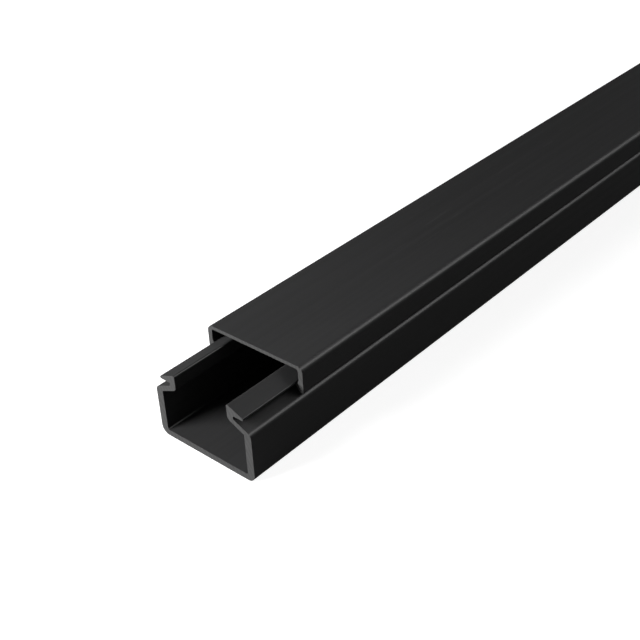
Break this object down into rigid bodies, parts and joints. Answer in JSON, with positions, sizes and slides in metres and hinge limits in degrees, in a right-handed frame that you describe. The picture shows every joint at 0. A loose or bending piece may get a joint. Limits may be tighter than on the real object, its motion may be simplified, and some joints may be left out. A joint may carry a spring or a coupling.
{
  "type": "cord cover raceway",
  "caption": "Black two-piece cord cover raceway: a hooked base channel with a snap-fit cover that slides along it, sawn square at both ends.",
  "frame": {"origin": "middle of the face that lies on the wall, halfway along the base", "axes": "+Z out of the wall towards the cover, +Y along the raceway away from the end where the cover is set back, +X across it"},
  "size_m": [0.02, 0.4115, 0.0142],
  "materials": {
    "black_pvc": "satin extruded black PVC"
  },
  "bodies": {
    "base": {"trunking_base": "black_pvc"},
    "cover": {"snap_cover": "black_pvc"}
  },
  "joints": [
    {"name": "cover_slide", "type": "slide", "parent": "base", "child": "cover", "axis": [0, 1, 0], "range_m": [-0.0115, 0.39]}
  ]
}
